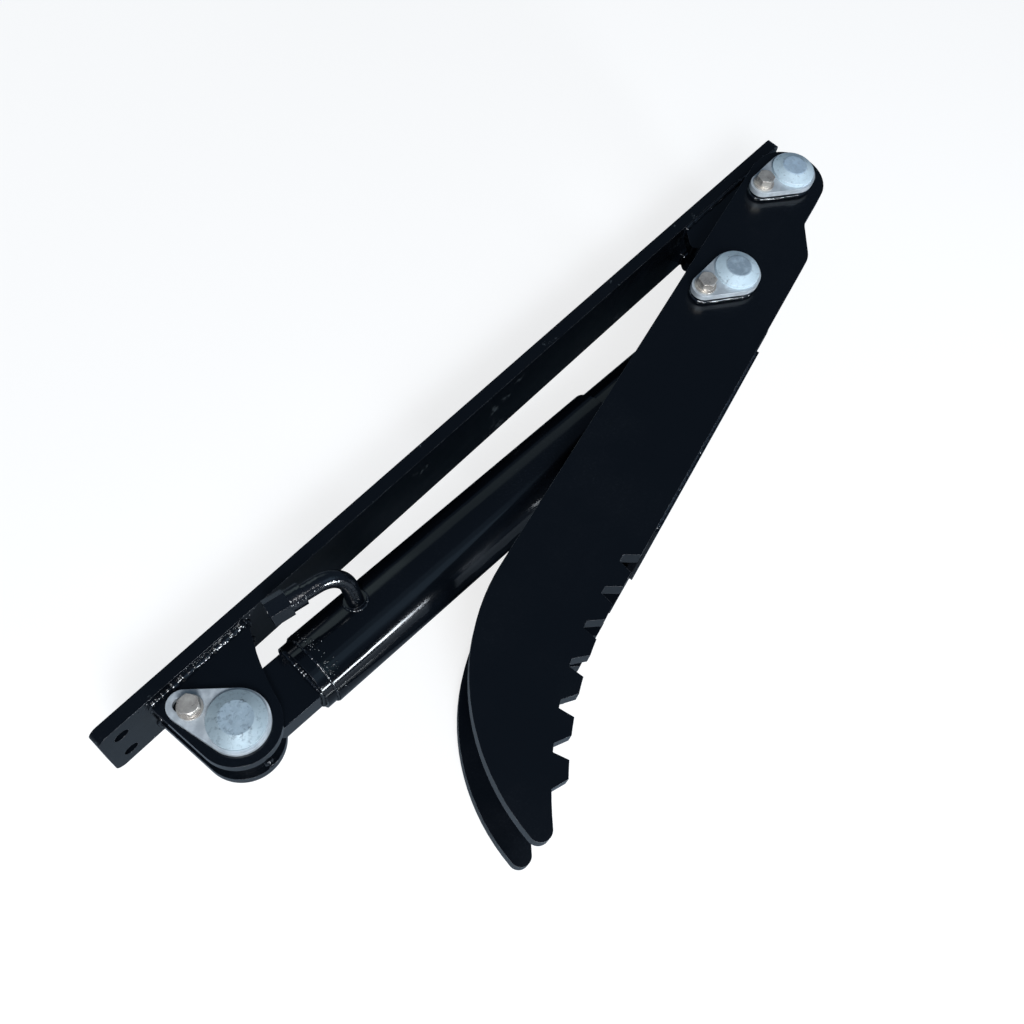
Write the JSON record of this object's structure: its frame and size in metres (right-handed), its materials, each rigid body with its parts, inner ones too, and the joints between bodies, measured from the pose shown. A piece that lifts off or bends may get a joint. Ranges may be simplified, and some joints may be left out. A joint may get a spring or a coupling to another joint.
{
  "type": "hydraulic thumb",
  "caption": "Hydraulic thumb for a small excavator: weld-on bar, twin toothed blades and a cylinder between them, drawn in.",
  "frame": {"origin": "on the mounting bar's back face, at mid-width, level with the thumb's pivot pin", "axes": "+X along the bar from the cylinder end to the thumb's pivot end, +Y out of the bar's back face, +Z across the thumb, towards the side with the pin retainers"},
  "size_m": [0.909, 0.3085, 0.1658],
  "materials": {
    "black_paint": "gloss",
    "zinc_plate": "satin",
    "yellow_zinc": "satin",
    "bright_steel": "satin",
    "bronze": "satin",
    "chrome_rod": "gloss",
    "seal_rubber": "matte"
  },
  "bodies": {
    "base": {"mounting_bar": "black_paint", "cylinder_ear_near": "black_paint", "cylinder_ear_far": "black_paint", "pivot_ear_near": "black_paint", "pivot_ear_far": "black_paint", "pivot_tube": "black_paint", "pivot_bush_near": "bronze", "pivot_bush_far": "bronze", "base_pin": "zinc_plate", "base_pin_retainer": "zinc_plate", "base_pin_bolt": "yellow_zinc"},
    "thumb": {"blade_near": "black_paint", "blade_far": "black_paint", "front_cross_plate": "black_paint", "upper_cross_tube": "black_paint", "lower_cross_tube": "black_paint", "pivot_pin_pad": "black_paint", "pivot_pin_collar": "black_paint", "pivot_pin": "zinc_plate", "pivot_pin_retainer": "zinc_plate", "pivot_pin_bolt": "yellow_zinc", "rod_pin_pad": "black_paint", "rod_pin_collar": "black_paint", "rod_pin": "zinc_plate", "rod_pin_retainer": "zinc_plate", "rod_pin_bolt": "yellow_zinc", "thrust_washer_near": "bright_steel", "thrust_washer_far": "bright_steel", "rod_spacer_near": "black_paint", "rod_spacer_far": "black_paint"},
    "barrel": {"cap_lug": "black_paint", "lug_bush": "bronze", "grease_nipple": "black_paint", "barrel_tube": "black_paint", "cylinder_head": "black_paint", "rod_seal": "seal_rubber", "rod_wiper": "seal_rubber", "cap_port_pad": "black_paint", "cap_port_pipe": "black_paint", "cap_port_sleeve": "black_paint", "cap_port_nut": "black_paint", "rod_port_pad": "black_paint", "rod_port_pipe": "black_paint", "rod_port_sleeve": "black_paint", "rod_port_nut": "black_paint"},
    "rod": {"rod": "chrome_rod", "piston": "bright_steel", "piston_seal": "seal_rubber", "piston_nut": "bright_steel", "rod_eye": "black_paint"}
  },
  "joints": [
    {"name": "thumb_pivot", "type": "hinge", "parent": "base", "child": "thumb", "pos_m": [0, -0.057, 0], "axis": [0, 0, 1], "range_deg": [0, 60]},
    {"name": "cylinder_swing", "type": "hinge", "parent": "base", "child": "barrel", "pos_m": [-0.76, -0.07, 0], "axis": [0, 0, 1], "range_deg": [-9, 0]},
    {"name": "rod_slide", "type": "slide", "parent": "barrel", "child": "rod", "axis": [0.999, -0.0453, 0], "range_m": [0, 0.125]}
  ],
  "couplings": [
    {"joint": "cylinder_swing", "follows": "thumb_pivot", "ratio": -0.1478},
    {"joint": "rod_slide", "follows": "thumb_pivot", "m_per_rad": 0.119}
  ]
}
